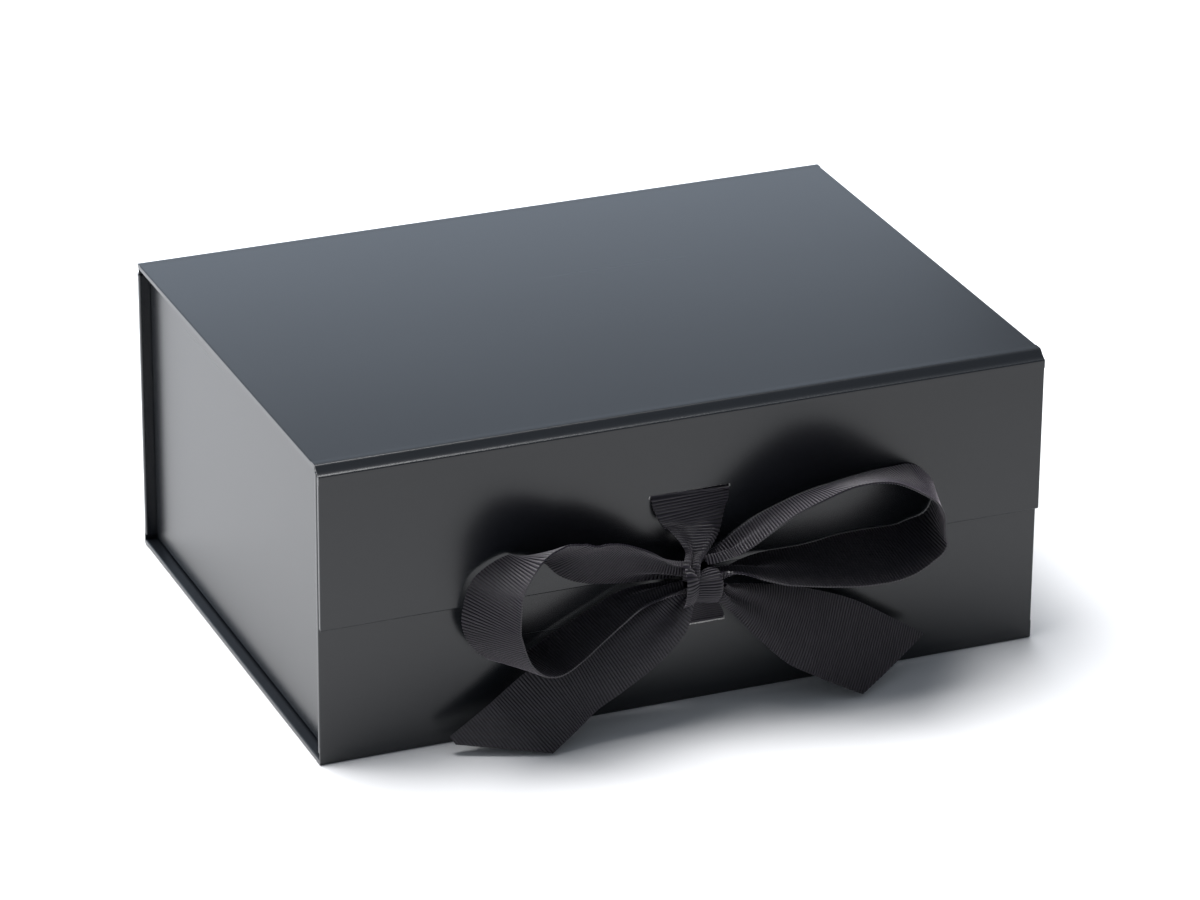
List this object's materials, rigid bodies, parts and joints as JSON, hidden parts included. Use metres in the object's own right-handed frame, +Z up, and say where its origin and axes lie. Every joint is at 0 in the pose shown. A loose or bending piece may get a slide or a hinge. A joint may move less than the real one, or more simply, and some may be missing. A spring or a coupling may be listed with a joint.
{
  "type": "gift box",
  "caption": "Rigid fold-flat gift box covered in dark satin paper, with a hinged lid, a magnetic front flap and a ribbon tied in a bow through slits in its front.",
  "frame": {"origin": "centre of the underside of the base, on the table", "axes": "+X along the box's width to the right of a person facing its front, +Y from the front with the bow to the rear wall, +Z up"},
  "size_m": [0.233, 0.1913, 0.097],
  "materials": {
    "wrap": "satin laminated covering paper over rigid board",
    "liner": "matt lining paper",
    "board": "grey rigid board",
    "ribbon": "ribbed grosgrain ribbon",
    "magnet": "plated disc magnet",
    "tape": "adhesive strip with its paper backing"
  },
  "bodies": {
    "tray": {"base_board": "board", "base_wrap": "wrap", "floor_liner": "liner", "rear_wall_board": "board", "rear_wall_wrap": "wrap", "rear_wall_liner": "liner", "front_wall_board": "board", "front_wall_wrap": "wrap", "front_wall_liner": "liner", "rear_base_fold": "wrap", "front_base_fold": "wrap", "lid_fold": "wrap", "left_wall_hinge": "liner", "right_wall_hinge": "liner", "wall_magnets": "magnet", "lower_ribbon": "ribbon"},
    "lid": {"lid_board": "board", "lid_wrap": "wrap", "lid_liner": "liner"},
    "flap": {"flap_board": "board", "flap_wrap": "wrap", "flap_liner": "liner", "flap_fold": "wrap", "flap_magnets": "magnet", "upper_ribbon": "ribbon", "knot": "ribbon", "left_loop": "ribbon", "right_loop": "ribbon", "left_tail": "ribbon", "right_tail": "ribbon"},
    "left_wall": {"left_wall_board": "board", "left_wall_wrap": "wrap", "left_wall_liner": "liner"},
    "left_front_tab": {"left_front_tab": "wrap", "left_front_tape": "tape"},
    "left_rear_tab": {"left_rear_tab": "wrap", "left_rear_tape": "tape"},
    "right_wall": {"right_wall_board": "board", "right_wall_wrap": "wrap", "right_wall_liner": "liner"},
    "right_front_tab": {"right_front_tab": "wrap", "right_front_tape": "tape"},
    "right_rear_tab": {"right_rear_tab": "wrap", "right_rear_tape": "tape"}
  },
  "joints": [
    {"name": "lid_hinge", "type": "hinge", "parent": "tray", "child": "lid", "pos_m": [0, 0.08225, 0.09675], "axis": [-1, 0, 0], "range_deg": [0, 180]},
    {"name": "flap_hinge", "type": "hinge", "parent": "lid", "child": "flap", "pos_m": [0, -0.08435, 0.09675], "axis": [-1, 0, 0], "range_deg": [0, 120]},
    {"name": "left_wall_fold", "type": "hinge", "parent": "tray", "child": "left_wall", "pos_m": [-0.11095, 0, 0.0033], "axis": [0, 1, 0], "range_deg": [0, 90]},
    {"name": "left_front_tab_fold", "type": "hinge", "parent": "left_wall", "child": "left_front_tab", "pos_m": [-0.1112, -0.0795, 0], "axis": [0, 0, 1], "range_deg": [0, 90]},
    {"name": "left_rear_tab_fold", "type": "hinge", "parent": "left_wall", "child": "left_rear_tab", "pos_m": [-0.1112, 0.0795, 0], "axis": [0, 0, -1], "range_deg": [0, 90]},
    {"name": "right_wall_fold", "type": "hinge", "parent": "tray", "child": "right_wall", "pos_m": [0.11095, 0, 0.0033], "axis": [0, -1, 0], "range_deg": [0, 90]},
    {"name": "right_front_tab_fold", "type": "hinge", "parent": "right_wall", "child": "right_front_tab", "pos_m": [0.1112, -0.0795, 0], "axis": [0, 0, -1], "range_deg": [0, 90]},
    {"name": "right_rear_tab_fold", "type": "hinge", "parent": "right_wall", "child": "right_rear_tab", "pos_m": [0.1112, 0.0795, 0], "axis": [0, 0, 1], "range_deg": [0, 90]}
  ],
  "couplings": [
    {"joint": "left_front_tab_fold", "follows": "left_wall_fold", "ratio": 1},
    {"joint": "left_rear_tab_fold", "follows": "left_wall_fold", "ratio": 1},
    {"joint": "right_front_tab_fold", "follows": "right_wall_fold", "ratio": 1},
    {"joint": "right_rear_tab_fold", "follows": "right_wall_fold", "ratio": 1}
  ]
}
